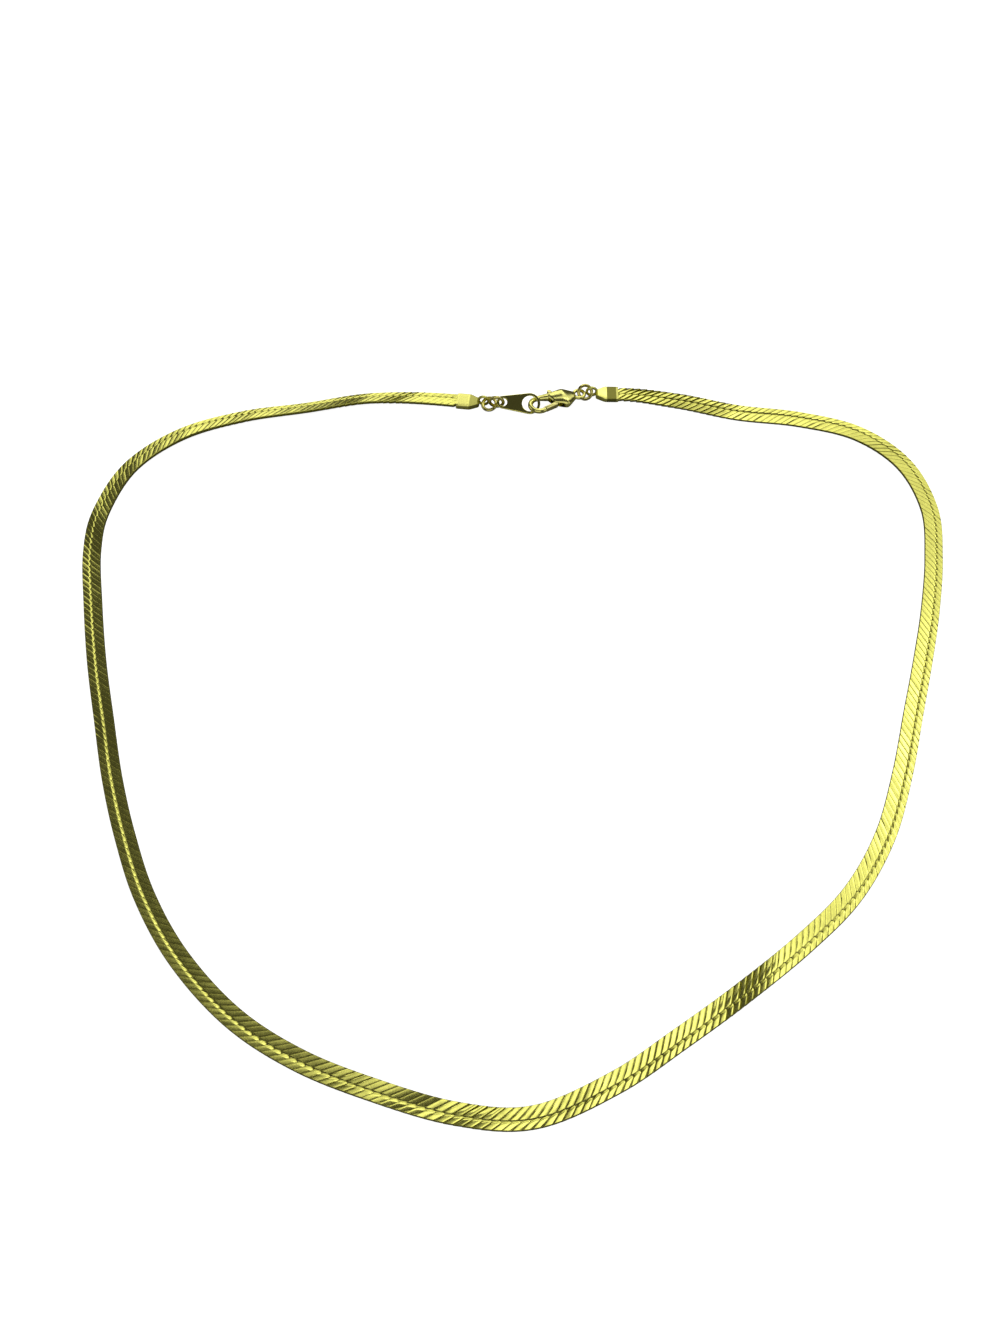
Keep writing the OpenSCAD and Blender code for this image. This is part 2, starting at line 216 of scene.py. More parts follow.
def swept(path: Array, radii: Array, cols: int = 24) -> Shell:
    """A round bar carried along a path in the plane z = 0, with a rounded end at each side.

    p(s, v) = c(s) + r(s) (cos v n(s) + sin v z), where n is the path's normal in the plane. On the
    rounded ends c goes on by r sin b along the path while the radius shrinks to r cos b.

    Args:
        path: Points (x, y) of the centre line.
        radii: Radius at each point.
        cols: Points round the bar.

    Returns:
        The closed bar.
    """
    along = np.gradient(path, axis=0)
    along /= np.linalg.norm(along, axis=1)[:, None]
    bend, least = np.radians([90, 68, 45, 22]), 0.04
    out, share = np.sin(bend)[:, None], np.maximum(np.cos(bend), least)
    front = path[0] - along[0] * radii[0] * out
    back = path[-1] + along[-1] * radii[-1] * out[::-1]
    centre = np.concatenate([front, path, back])
    radius = np.concatenate([radii[0] * share, radii, radii[-1] * share[::-1]])
    tangent = np.concatenate([along[[0] * len(bend)], along, along[[-1] * len(bend)]])
    normal = np.stack([-tangent[:, 1], tangent[:, 0]], 1)
    v = np.linspace(0, 2 * np.pi, cols, endpoint=False)
    xy = centre[:, None] + radius[:, None, None] * np.cos(v)[None, :, None] * normal[:, None]
    z = radius[:, None] * np.sin(v)
    return skin(np.concatenate([xy, z[..., None]], -1))


@dataclass
class Layout:
    """Sizes and places of the pieces, as the part's source has them.

    All are in millimetres or, where the name ends in heading, twist or lean, in degrees. The one
    share is ring_to_ring, from one left ring's centre to the other's, in radii of a ring.
    """

    band_w: float = 3.4
    band_t: float = 0.7
    band_edge: float = 0.18
    cap_len: float = 4.8
    cap_pocket: float = 2.0
    cap_shoulder: float = 2.8
    cap_wall: float = 0.18
    cap_tip_w: float = 1.8
    pocket_fit: float = 0.03
    loop_wire: float = 0.6
    loop_hole: float = 1.45
    ring_wire: float = 0.7
    ring_hole: float = 2.15
    tag_len: float = 5.6
    tag_t: float = 0.42
    tag_eye: float = 4.4
    tag_eye_hole: float = 3.3
    tag_end: float = 2.7
    tag_end_hole: float = 1.65
    clasp_reach: float = 10.9
    clasp_t: float = 2.6
    right_cap_heading: float = 179
    right_ring_heading: float = 191
    right_ring_twist: float = 6
    right_ring_lean: float = 45
    clasp_heading: float = 201
    eye_back: float = 0.1
    eye_aside: float = 0.95
    tag_heading: float = 180
    tag_lean: float = 34.5
    tag_up: float = 0.01
    inner_ring_heading: float = 175
    inner_ring_lean: float = 98
    inner_ring_up: float = 0.05
    ring_to_ring: float = 1.07
    outer_ring_heading: float = 173
    outer_ring_twist: float = -19
    outer_ring_lean: float = 20
    outer_ring_up: float = 0.19
    left_link_heading: float = 149
    left_cap_heading: float = 173

    def __post_init__(self) -> None:
        """Works out each place from the piece before it, from the right cap to the left one."""
        self.cap_w = self.band_w + 2 * (self.pocket_fit + self.cap_wall)
        self.cap_t = self.band_t + 2 * (self.pocket_fit + self.cap_wall)
        self.loop_r = (self.loop_hole + self.loop_wire) / 2
        self.loop_x = self.cap_len + self.loop_r - self.loop_wire / 4
        self.loop_z = self.loop_r + self.loop_wire / 2
        self.ring_r = (self.ring_hole + self.ring_wire) / 2
        self.right_mouth = np.array(ROUTE[0][:2])
        self.right_loop = self.right_mouth + self.loop_x * heading(self.right_cap_heading)
        self.right_ring = self.right_loop + self.ring_r * heading(self.right_ring_heading)
        self.tail_eye = self.right_ring + self.ring_r * heading(self.clasp_heading)
        self.eye = (self.tail_eye + (self.clasp_reach - self.eye_back) * heading(self.clasp_heading)
                    + self.eye_aside * heading(self.clasp_heading - 90))
        lean = math.radians(self.tag_lean)
        self.eye_z = (self.tag_eye / 2 * math.sin(lean) + self.tag_t / 2 * math.cos(lean)
                      + self.tag_up)
        self.inner_z = self.ring_z(self.inner_ring_lean, self.inner_ring_up)
        self.tag_pitch = math.degrees(math.asin((self.inner_z - self.eye_z) / self.tag_len))
        run = self.tag_len * math.cos(math.radians(self.tag_pitch))
        self.tag_end_place = self.eye + run * heading(self.tag_heading)
        self.inner_ring = self.tag_end_place + self.ring_r * heading(self.inner_ring_heading)
        apart = self.ring_to_ring * self.ring_r
        self.outer_ring = self.inner_ring + apart * heading(self.outer_ring_heading)
        self.left_loop = self.outer_ring + self.ring_r * heading(self.left_link_heading)
        self.left_mouth = self.left_loop + self.loop_x * heading(self.left_cap_heading)
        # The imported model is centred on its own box: one ring's place there says how far to move.
        low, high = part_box("jump_ring_right")
        self.middle = self.right_ring - (np.array(low) + np.array(high))[:2] / 2 / MM

    def ring_z(self, lean: float, up: float = 0.0) -> float:
        """Height of a leaning ring's centre: R sin(lean) + r + up."""
        return self.ring_r * math.sin(math.radians(lean)) + self.ring_wire / 2 + up

    def to_frame(self, points: Array) -> Array:
        """Points of the drawing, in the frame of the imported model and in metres."""
        return (points - np.array([self.middle[0], self.middle[1], 0.0])) * MM


@dataclass
class Line:
    """The band's centre line by arc length, a smooth curve through the route's points.

    Attributes:
        layout: The sizes and places.
        per_step: Samples on each step of the route.
    """

    layout: Layout
    per_step: int = 60
    table: Array = field(init=False)
    length: float = field(init=False)

    def __post_init__(self) -> None:
        """Samples x, y, z, roll and direction along the line, pocket to pocket.

        From k1 to k2 it is 0.5 (2 k1 + (k2 - k0) u + (2 k0 - 5 k1 + 4 k2 - k3) u^2
        + (3 k1 - k0 - 3 k2 + k3) u^3), a cubic that passes each point of the route in the
        direction of the line between that point's neighbours.
        """
        lay = self.layout
        knots = np.array(ROUTE + [[*lay.left_mouth, 0.0]], float)
        steps = len(knots) - 1
        right_out, left_out = heading(lay.right_cap_heading), -heading(lay.left_cap_heading)
        first = knots[1, :2] + 2 * np.linalg.norm(knots[1, :2] - knots[0, :2]) * right_out
        last = knots[-2, :2] + 2 * np.linalg.norm(knots[-1, :2] - knots[-2, :2]) * left_out
        knots = np.vstack([[*first, 0.0], knots, [*last, 0.0]])
        i = np.repeat(np.arange(steps), self.per_step)
        u = np.tile(np.arange(self.per_step) / self.per_step, steps)
        i, u = np.append(i, steps - 1), np.append(u, 1.0)
        k0, k1, k2, k3 = (knots[i + j] for j in range(4))
        w = u[:, None]
        spot = 0.5 * (2 * k1 + (k2 - k0) * w + (2 * k0 - 5 * k1 + 4 * k2 - k3) * w ** 2
                      + (3 * k1 - k0 - 3 * k2 + k3) * w ** 3)
        roll = np.radians(spot[:, 2])
        lift = (lay.cap_t - lay.band_t) / 2
        rise = (np.where(i == 0, lift * (1 - ease(u)), 0.0)
                + np.where(i == steps - 1, lift * ease(u), 0.0))
        half, edge = lay.band_t / 2, lay.band_edge
        rest = np.maximum(
            lay.band_w / 2 * abs(np.sin(roll)) + (half - edge) * np.cos(roll),
            (lay.band_w / 2 - edge) * abs(np.sin(roll)) + half * np.cos(roll))
        deep = lay.cap_pocket - lay.pocket_fit
        begin = [*(lay.right_mouth + deep * right_out), lay.cap_t / 2, 0.0]
        end = [*(lay.left_mouth + deep * left_out), lay.cap_t / 2, 0.0]
        rows = np.vstack([begin, np.column_stack([spot[:, :2], rest + rise, roll]), end])
        run = np.append(0.0, np.cumsum(np.linalg.norm(np.diff(rows[:, :2], axis=0), axis=1)))
        turn = np.unwrap(np.arctan2(np.gradient(rows[:, 1], run), np.gradient(rows[:, 0], run)))
        self.table = np.column_stack([run, rows, turn])
        self.length = float(run[-1])

    def place(self, s: Array, w: Array, h: Array) -> Array:
        """Points at arc length s, w towards the loop's outside and h out of the band's upper face.

        p = c(s) + (w cos r - h sin r) n + (w sin r + h cos r) z, with n to the left of the travel.

        Args:
            s: Arc length from the right pocket, in millimetres.
            w: Distance across the band.
            h: Height over the band's middle surface.

        Returns:
            Points (..., 3) of the drawing.
        """
        run, *columns = self.table.T
        x, y, z, roll, turn = (np.interp(s, run, column) for column in columns)
        side = w * np.cos(roll) - h * np.sin(roll)
        up = w * np.sin(roll) + h * np.cos(roll)
        return np.stack([x - np.sin(turn) * side, y + np.cos(turn) * side, z + up], -1)


@dataclass
class Weave:
    """The pressed weave: two rows of slanted bars that interlock along the middle of the band.

    Attributes:
        line: The band's centre line.
        pitch: Distance from bar to bar along the band.
        slant: Angle of the bars from the band's direction, in degrees.
        middle: How far outwards of the band's centre the two rows meet.
        gap: Gap between neighbouring bars, along the band.
        lap: How far a bar's rounded end reaches over the middle line.
        crown: How much lower a bar's long edges lie than its middle.
        dip: How much lower the rounded end lies.
        tuck: Size of the inner row's rounded ends over the outer row's, which lie on top.
        sway: Largest random tilt of a bar about its own length, in degrees.
        least_level: Least height of a bar's skin over the band's middle surface.
        gap_shade: How much painted shade darkens the bars' long edges, along the gaps.
        end_shade: How much painted shade the square of the dip adds to them.
        edge_shade: The same for each millimetre of the band's rounded edge.
        end_room: Length at each end of the band where the bars are pressed together.
        press: Share of their length that is left there.
        end_gap: Gap from the last point to the band's end.
        core_deep: How far the links, dark with painted shade, lie under the band's skin.
        core_edge: Bevel of their band.
        core_steps: Sections along their band.
    """

    line: Line
    pitch: float = 1.385
    slant: float = 40.0
    middle: float = 0.34
    gap: float = 0.03
    lap: float = 0.24
    crown: float = 0.018
    dip: float = 0.23
    tuck: float = 0.5
    sway: float = 1.2
    least_level: float = 0.06
    gap_shade: float = 0.72
    end_shade: float = 0.8
    edge_shade: float = 5.0
    end_room: float = 0.35
    press: float = 0.08
    end_gap: float = 0.02
    core_deep: float = 0.16
    core_edge: float = 0.08
    core_steps: int = 420

    # Stations along a bar. Columns: distance in millimetres, from the band's edge for the first
    # two and from the rounded end for the others, then share of the bar's width there, share of
    # the dip, how far the bar's sides fall away in a round arch, and the edge's rounding.
    STATIONS = np.array([
        [0.0, 1.0, 0.0, 0.0, 0.12], [0.08, 1.0, 0.0, 0.0, 0.0],
        [0.8, 1.0, 0.0, 0.0, 0.0], [0.62, 1.0, 0.0, 0.02, 0.0], [0.36, 0.84, 0.16, 0.1, 0.0],
        [0.14, 0.58, 0.5, 0.16, 0.0], [0.0, 0.2, 1.0, 0.1, 0.0]])
    # Points round a bar's section. Columns: share of the half width, share of the crown, and the
    # side, 1 above and -1 below.
    SECTION = np.array([
        [1.0, 1.0, 1], [0.84, 0.36, 1], [0.42, 0.04, 1], [-0.42, 0.0, 1], [-0.84, 0.26, 1],
        [-1.0, 1.0, 1], [-1.0, 1.0, -1], [0.0, 0.0, -1], [1.0, 1.0, -1]])
    # Small bends that the worn band has taken. Columns: place along the band and half length in
    # millimetres, how far the bars there lean back along the band, in degrees, how much lower
    # their long edges lie than elsewhere, and how far inwards the rows' middle line strays.
    BENDS = np.array([
        [0.0, 34.0, 0.0, 0.014, 0.5], [6.0, 5.0, 12.0, 0, 0], [15.0, 4.0, 9.0, 0, 0],
        [23.0, 4.0, 9.0, 0, 0], [59.0, 4.0, 4.0, 0, 0], [190.0, 7.0, -13.0, 0, 0],
        [205.0, 30.0, 0.0, 0.014, 0], [207.0, 5.0, -4.0, 0, 0], [222.0, 4.0, -5.0, 0, 0],
        [238.0, 5.0, -8.0, 0, 0], [247.0, 4.0, 5.0, 0, 0], [257.0, 4.0, -5.0, 0, 0],
        [325.0, 65.0, 0.0, -0.006, 0.4], [338.0, 5.0, 4.0, 0, 0], [384.0, 4.0, 4.0, 0, 0],
        [428.0, 5.0, 4.0, 0, 0], [452.0, 3.0, 4.0, 0, 0], [463.0, 3.0, 7.0, 0, 0]])

    def bars(self, row: Row) -> Shell:
        """All the bars of one row.

        A bar's middle runs from the edge at w = +-W/2 to lap past the middle line, at
        s = s0 + w / tan(slant). Its section there is (q b, T/2 - crown k(q) - a q^2 - dip d) on
        each face, with b, a and d the width, arch and dip of the station, and it is turned by
        the bar's random tilt and its lean.

        Args:
            row: Which row.

        Returns:
            The bars as one shell of closed pieces.
        """
        lay = self.line.layout
        side = row.value
        count = int(self.line.length / self.pitch)
        rng = np.random.default_rng(SEED + side)
        far, width, drop, arch, bevel = self.STATIONS.T.copy()
        if row is Row.INNER:
            far[2:] *= self.tuck
            drop *= self.tuck
            arch *= self.tuck
        q, k, upper = self.SECTION.T
        half_t = lay.band_t / 2
        start = (np.arange(count) + 0.5 + 0.25 * side) * self.pitch
        lean, round_back, stray = self.bent(start)
        edge, tip = side * lay.band_w / 2, self.middle - side * self.lap - stray[:, None]
        w = np.hstack([np.tile(edge - side * far[:2], (count, 1)), tip + side * far[2:]])[..., None]
        across = (self.pitch - self.gap) / 2 * width[:, None] * q
        s = self.inside(start[:, None, None] + w / math.tan(math.radians(self.slant)) + across)
        tilt = np.radians(rng.uniform(-self.sway, self.sway, count) + lean)[:, None, None]
        crown = (self.crown + round_back)[:, None, None] * k + arch[:, None] * q ** 2
        fallen = half_t - bevel[:, None] - crown - self.dip * drop[:, None]
        h = upper * np.maximum(fallen, self.least_level) + tilt * across
        points = self.line.place(s, np.broadcast_to(w, s.shape), h)
        bar, each = tube_faces(len(far), len(q)), len(far) * len(q)
        faces = [[i + n * each for i in face] for n in range(count) for face in bar]
        # Painted shade: darker along the gaps between the bars, on the dipped ends and on the
        # band's rounded edge.
        shade = (self.gap_shade * (k > 0.5) + self.end_shade * drop[:, None] ** 2
                 + self.edge_shade * bevel[:, None])
        return Shell(points.reshape(-1, 3), faces, np.tile(np.clip(shade, 0.0, 1.0).ravel(), count))

    def bent(self, s: Array) -> Array:
        """What the bends add at arc length s: for each column, the sum of a exp(-((s - c) / b)^2).

        Args:
            s: Arc lengths of the bars.

        Returns:
            Rows for the lean in degrees, the rounder back and the stray of the middle line.
        """
        place, half, *amounts = self.BENDS.T
        near = np.exp(-((s[:, None] - place) / half) ** 2)
        return np.array(amounts) @ near.T

    def inside(self, s: Array) -> Array:
        """Arc lengths past either end of the band are pressed together just inside that end."""
        room, far = self.end_room, self.line.length - self.end_room
        s = np.where(s < room, room + (s - room) * self.press, s)
        s = np.where(s > far, far + (s - far) * self.press, s)
        return np.clip(s, self.end_gap, self.line.length - self.end_gap)

    def core(self) -> Shell:
        """The links under the bars, dark all over with painted shade, as one thin band with an
        eight-cornered section.
        """
        lay, edge = self.line.layout, self.core_edge
        half_w, half_t = lay.band_w / 2 - self.core_deep, lay.band_t / 2 - self.core_deep
        w, h = np.array([
            [half_w, edge - half_t], [half_w, half_t - edge], [half_w - edge, half_t],
            [edge - half_w, half_t], [-half_w, half_t - edge], [-half_w, edge - half_t],
            [edge - half_w, -half_t], [half_w - edge, -half_t]]).T
        s = np.linspace(self.end_gap, self.line.length - self.end_gap, self.core_steps)
        s, w, h = np.broadcast_arrays(s[:, None], w, h)
        return skin(self.line.place(s, w, h), 1.0)


@dataclass
class EndCap:
    """A pressed sleeve on an end of the band, with a soldered loop standing on its tip.

    Attributes:
        layout: The sizes and places.
        collar_shade: Painted shade, standing in for a dark reflection, on the flat collar behind
            the mouth, from 0 to 1.
        nose_shade: Painted shade on the narrowing nose, from 0 to 1.
        corner: Power that squares the sleeve's section, from 1 for an ellipse to 0 for a box.
        round_steps: Points round the section.
    """

    layout: Layout
    collar_shade: float
    nose_shade: float
    corner: float = 0.22
    round_steps: int = 44

    def sleeve(self) -> Shell:
        """The sleeve in its own frame, mouth at x = 0 and tip along +X, as one closed skin.

        The skin runs from the tip to the mouth's lip and back into the pocket. Its section at x is
        a rounded rectangle: (a sgn(cos v) |cos v|^e, b sgn(sin v) |sin v|^e), with e small.

        Returns:
            The sleeve.
        """
        lay = self.layout
        half_t, wall = lay.cap_t / 2, lay.cap_wall
        # Outside, from the tip to the mouth: the rounded tip, the nose, the shoulder, the two
        # lines of the collar and the lip, with how far each section draws in.
        collar_lines = [2.36, 0.5]
        x_out = np.concatenate([
            lay.cap_len - np.array([0.0, 0.03, 0.15, 0.4, 0.7, 1.0, 1.3, 1.65]),
            [lay.cap_shoulder, 2.5, *collar_lines, 0.36, 0.03, 0.0]])
        shrink = np.array([0.34, 0.16, 0.05] + [0.0] * 10 + [0.04, 0.09])
        # The nose narrows half evenly and half in a soft curve that starts at the collar.
        even = np.clip((x_out - lay.cap_shoulder) / (lay.cap_len - lay.cap_shoulder), 0.0, 1.0)
        taper = 0.5 * even + 0.5 * ease((x_out - 2.55) / (lay.cap_len - 2.4))
        half_w = lay.cap_w / 2 + (lay.cap_tip_w / 2 - lay.cap_w / 2) * taper
        # Inside, from the lip to the pocket's floor, with how far each section flares.
        x_in = [0.03, 0.12, lay.cap_pocket - 0.05, lay.cap_pocket]
        flare = np.array([0.04, 0.0, 0.0, -0.02])
        x = np.concatenate([x_out, x_in])[:, None]
        a = np.concatenate([half_w - shrink, lay.cap_w / 2 - wall + flare])[:, None]
        b = np.concatenate([half_t - shrink, half_t - wall + flare])[:, None]
        v = np.linspace(0, 2 * np.pi, self.round_steps, endpoint=False) + np.pi / self.round_steps
        cy, cz = squared(v, self.corner)
        grid = np.stack(np.broadcast_arrays(x, a * cy, half_t + b * cz), -1)
        # Painted shade: on the collar lines and the nose as the cap is given, and deep in the
        # pocket.
        outer_shade = (self.collar_shade * np.isin(x_out, collar_lines)
                    + self.nose_shade * (x_out >= lay.cap_shoulder))
        inside_shade = [0.4, 0.8, 1.0, 1.0]
        return skin(grid, np.concatenate([outer_shade, inside_shade])[:, None])

    def built(self, mouth: Array, degrees: float) -> Shell:
        """The sleeve and its loop, laid at a mouth.

        Args:
            mouth: Place of the mouth.
            degrees: Heading from the mouth to the tip.

        Returns:
            Both as one shell.
        """
        lay = self.layout
        loop = torus(lay.loop_r, lay.loop_wire, rows=48, cols=18)
        loop.points = turn_x(loop.points, 90) + np.array([lay.loop_x, 0.0, lay.loop_z])
        cap = joined([self.sleeve(), loop])
        cap.points = turn_z(cap.points, degrees)
        return cap.moved(mouth, 0.0)


@dataclass
class JumpRing:
    """A cut ring of round wire that leans about one line of the table.

    Attributes:
        layout: The sizes and places.
        place: Its centre.
        z: Height of its centre.
        axis: Heading of the line that it leans about, in degrees.
        lean: Its angle to the table, in degrees.
        slit_at: Where its cut is, in degrees round it.
        slit: Width of the cut.
    """

    layout: Layout
    place: Array
    z: float
    axis: float
    lean: float
    slit_at: float
    slit: float = 0.05

    def built(self) -> Shell:
        """The ring, with its cut turned to slit_at degrees round it."""
        lay = self.layout
        ring = torus(lay.ring_r, lay.ring_wire, slit=self.slit, rows=60, cols=18)
        ring.points = turn_z(turn_x(turn_z(ring.points, self.slit_at), -self.lean), self.axis)
        return ring.moved(self.place, self.z)


@dataclass
class Tag:
    """A flat tapered tag with a hole in its round eye and one in its narrow end.

    Attributes:
        layout: The sizes and places.
        meeting: Where the mesh's two halves meet, from the eye's centre.
        spokes: Points on the meeting line.
        side_steps: Points along each straight side.
        arc_steps: Points round each rounded end.
        rings: Rows of points from a hole to the outline.
    """

    layout: Layout
    meeting: float = 3.05
    spokes: int = 15
    side_steps: int = 8
    arc_steps: int = 44
    rings: int = 5

    def half(self, centre: float, hole: float, rim: float, other: float,
             facing: int) -> tuple[Array, list]:
        """One side of the tag as rings round its hole, out to the outline or the meeting line.

        A point is c + m(t) (cos t, sin t), with m from the hole's radius to the outline's distance.
        The outline is the circle of the rim, or the straight side that touches both circles.

        Args:
            centre: Place of the hole along the tag.
            hole: Radius of the hole.
            rim: Radius of the outline round this hole.
            other: Radius of the outline round the other hole.
            facing: 1 where the other hole lies towards +X, or -1.

        Returns:
            Points (n, 2) and quads.
        """
        touch = math.acos((rim - other) / self.layout.tag_len)
        gap = abs(self.meeting - centre)
        side = rim / math.sin(touch) - gap / math.tan(touch)
        edge_y = np.linspace(side, -side, self.spokes)
        meet = np.arctan2(edge_y, gap)
        straight = np.linspace(meet[0], touch, self.side_steps)[1:-1]
        arc = np.linspace(touch, 2 * np.pi - touch, self.arc_steps)
        t = np.concatenate([meet[::-1], straight, arc, 2 * np.pi - straight[::-1]])
        hair = 1e-9
        reach = np.where(
            (t > meet[0] + hair) & (t < touch), rim / np.cos(t - touch),
            np.where(t > 2 * np.pi - touch + hair, rim / np.cos(t - 2 * np.pi + touch), rim))
        reach[:self.spokes] = np.hypot(gap, edge_y[::-1])
        radius = hole + (reach - hole) * np.linspace(0, 1, self.rings)[:, None]
        x, y = centre + facing * radius * np.cos(t), radius * np.sin(t)
        faces = tube_faces(self.rings, len(t), close_ends=False)
        return np.stack([x.ravel(), y.ravel()], 1), faces

    def flat(self) -> Shell:
        """The tag's middle surface, both halves, which meet point by point on the meeting line."""
        lay = self.layout
        eye_r, end_r = lay.tag_eye / 2, lay.tag_end / 2
        eye, eye_faces = self.half(0.0, lay.tag_eye_hole / 2, eye_r, end_r, 1)
        end, end_faces = self.half(lay.tag_len, lay.tag_end_hole / 2, end_r, eye_r, -1)
        points = np.concatenate([eye, end])
        faces = eye_faces + [[i + len(eye) for i in face][::-1] for face in end_faces]
        return Shell(np.column_stack([points, np.zeros(len(points))]), faces, np.zeros(len(points)))

    def laid(self, points: Array) -> Array:
        """Points of the tag's own frame, leaned, pitched and laid at its place in the drawing."""
        lay = self.layout
        points = turn_z(turn_y(turn_x(points, -lay.tag_lean), -lay.tag_pitch), lay.tag_heading)
        return points + np.array([lay.eye[0], lay.eye[1], lay.eye_z])


@dataclass
class Clasp:
    """The lobster claw in its own frame: X from the tail eye to the hook, +Y on the gate's side.

    Attributes:
        layout: The sizes and places.
        width: Width over the belly.
        belly_at: Where the belly is widest, as a share of the clasp's reach.
        belly_corner: Power that squares the belly's section, 1 for an ellipse.
        hook_wire: Thickness of the hook.
        hook_r: Radius of the hook's centre line.
        tail_wire: Thickness of the tail eye.
        tail_hole: Diameter of the tail eye's hole.
        tip_turn: How far the hook's tip goes past a half turn, in degrees.
        tip_short: How much of that its rounded end takes up, in degrees.
        pin_at: The lever's pin from the belly's widest place, along X and Y.
        pin_d: Diameter of the pin.
        hub_wall: Wall of the lever's hub round the pin.
        lever_t: Thickness of the lever.
        lever_w: Width of its arms.
        lever_fit: Gap round it.
        slot_end: End of its slot, from the belly's widest place.
        nub_along: Its thumb nub from the pin, along X.
        nub_out: How far the nub stands out of the belly.
        swing: How far it opens, in degrees.
        swing_spare: Room past that, in degrees.
    """

    layout: Layout
    width: float = 5.0
    belly_at: float = 0.31
    belly_corner: float = 0.86
    hook_wire: float = 1.08
    hook_r: float = 1.85
    tail_wire: float = 0.75
    tail_hole: float = 1.55
    tip_turn: float = 24.0
    tip_short: float = 4.0
    pin_at: tuple = (1.6, 0.2)
    pin_d: float = 0.7
    hub_wall: float = 0.5
    lever_t: float = 1.0
    lever_w: float = 0.8
    lever_fit: float = 0.06
    slot_end: float = 3.28
    nub_along: float = 0.8
    nub_out: float = 0.6
    swing: float = 24.0
    swing_spare: float = 6.0

    def __post_init__(self) -> None:
        """Works out the places inside the clasp from its sizes."""
        self.hook_x = self.layout.clasp_reach - self.hook_r
        self.belly_x = self.belly_at * self.layout.clasp_reach
        self.pivot = np.array([self.belly_x + self.pin_at[0], self.pin_at[1]])
        self.hub_r = self.pin_d / 2 + self.hub_wall
        turn = math.radians(self.tip_turn)
        self.tip = np.array([self.hook_x - self.hook_r * math.sin(turn),
                             self.hook_r * math.cos(turn)])
        self.reach = float(np.linalg.norm(self.tip - self.pivot))
        self.nub = np.array([self.pivot[0] + self.nub_along,
                             -self.width / 2 - self.nub_out + self.lever_w / 2])

    def belly(self) -> Shell:
        """The puffed body: rounded sections carried along X.

        At x the section is (y0 + a sgn(cos v) |cos v|^e, b sgn(sin v) |sin v|^e), with e a
        little under 1, so that its faces are a little flatter than an ellipse.

        Returns:
            The closed body.
        """
        # Columns: x, middle of the section, half width and half thickness.
        spots, *columns = np.array([
            [0.875, 0.0, 0.15, 0.1], [0.93, 0.0, 0.7, 0.35], [1.1, 0.0, 1.04, 0.56],
            [1.4, 0.0, 1.25, 0.75], [1.8, 0.0, 1.5, 0.87], [2.4, 0.0, 1.98, 1.04],
            [3.0, 0.0, 2.36, 1.21], [3.4, 0.0, 2.5, 1.3], [3.9, -0.1, 2.38, 1.28],
            [4.4, -0.22, 2.2, 1.2], [5.0, -0.38, 2.0, 1.1], [5.5, -0.5, 1.84, 1.01],
            [5.9, -0.62, 1.68, 0.95], [6.15, -0.87, 1.42, 0.9], [6.5, -1.27, 0.93, 0.8],
            [6.8, -1.5, 0.48, 0.5], [6.93, -1.45, 0.15, 0.12]]).T
        x = np.linspace(spots[0], spots[-1], 46)
        y0, a, b = (np.interp(x, spots, column)[:, None] for column in columns)
        cy, cz = squared(np.linspace(0, 2 * np.pi, 48, endpoint=False), self.belly_corner)
        return skin(np.stack(np.broadcast_arrays(x[:, None], y0 + a * cy, b * cz), -1))

    def hook(self) -> Shell:
        """The fixed arm, the hook's bend and its tip, as one bar that thins along its path."""
        # The fixed arm, which starts inside the belly. Columns: x, y and radius.
        *root, root_r = np.array([
            [4.6, -1.3, 1.1], [6.03, -1.4, 0.9], [7.2, -1.62, 0.75], [8.2, -1.8, 0.61]]).T
        turn = np.radians(np.linspace(-90, 90 + self.tip_turn - self.tip_short, 40))
        circle = np.stack([np.cos(turn), np.sin(turn)], 1)
        bend = np.array([self.hook_x, 0.0]) + self.hook_r * circle
        path = np.concatenate([np.stack(root, 1), bend])
        radii = np.concatenate([root_r, np.full(len(bend), self.hook_wire / 2)])
        run = np.append(0, np.cumsum(np.linalg.norm(np.diff(path, axis=0), axis=1)))
        even = np.linspace(0, run[-1], 90)
        smooth = np.stack([np.interp(even, run, path[:, 0]), np.interp(even, run, path[:, 1])], 1)
        return swept(smooth, np.interp(even, run, radii), cols=28)

    def tail(self) -> Shell:
        """The round tail eye."""
        return torus((self.tail_hole + self.tail_wire) / 2, self.tail_wire, rows=60, cols=24)

    def rooms(self) -> list[Shell]:
        """What is cut out for the lever: its slot, the nub's channel and the gate's seat."""
        thick = self.lever_t + 2 * self.lever_fit
        x0 = self.pivot[0] - self.hub_r - 2 * self.lever_fit
        y0 = self.pivot[1] - self.hub_r - 2 * self.lever_fit
        nub_r = float(np.linalg.norm(self.nub - self.pivot))
        lean = math.atan2(self.nub[0] - self.pivot[0], self.pivot[1] - self.nub[1])
        spare = math.radians(self.swing + self.swing_spare)
        side = self.lever_w / 2 + self.lever_fit
        nub_x = self.pivot[0] - nub_r * math.sin(spare - lean) - side
        slot = block([x0, y0, -thick / 2], [self.belly_x + self.slot_end, self.width, thick / 2])
        channel = block([nub_x, -self.width, -thick / 2],
                        [self.nub[0] + side, self.pivot[1], thick / 2])
        return [slot, channel, self.seat()]

    def seat(self) -> Shell:
        """The wedge that the gate's tip sweeps, cut from the hook's tip: a slice of a disc.

        Its rim is pivot + r (cos v, sin v), from v = 0 to the angle where x falls to x0.

        Returns:
            The cutting wedge.
        """
        room = self.reach + 2 * self.lever_fit
        x0 = self.tip[0] - self.hook_wire
        v = np.linspace(0, math.acos((x0 - self.pivot[0]) / room), 40)
        rim = self.pivot + room * np.stack([np.cos(v), np.sin(v)], 1)
        outline = np.vstack([[x0, self.pivot[1]], rim])
        high = self.hook_wire
        return skin(np.stack([np.column_stack([outline, np.full(len(outline), z)])
                              for z in (-high, high)]))

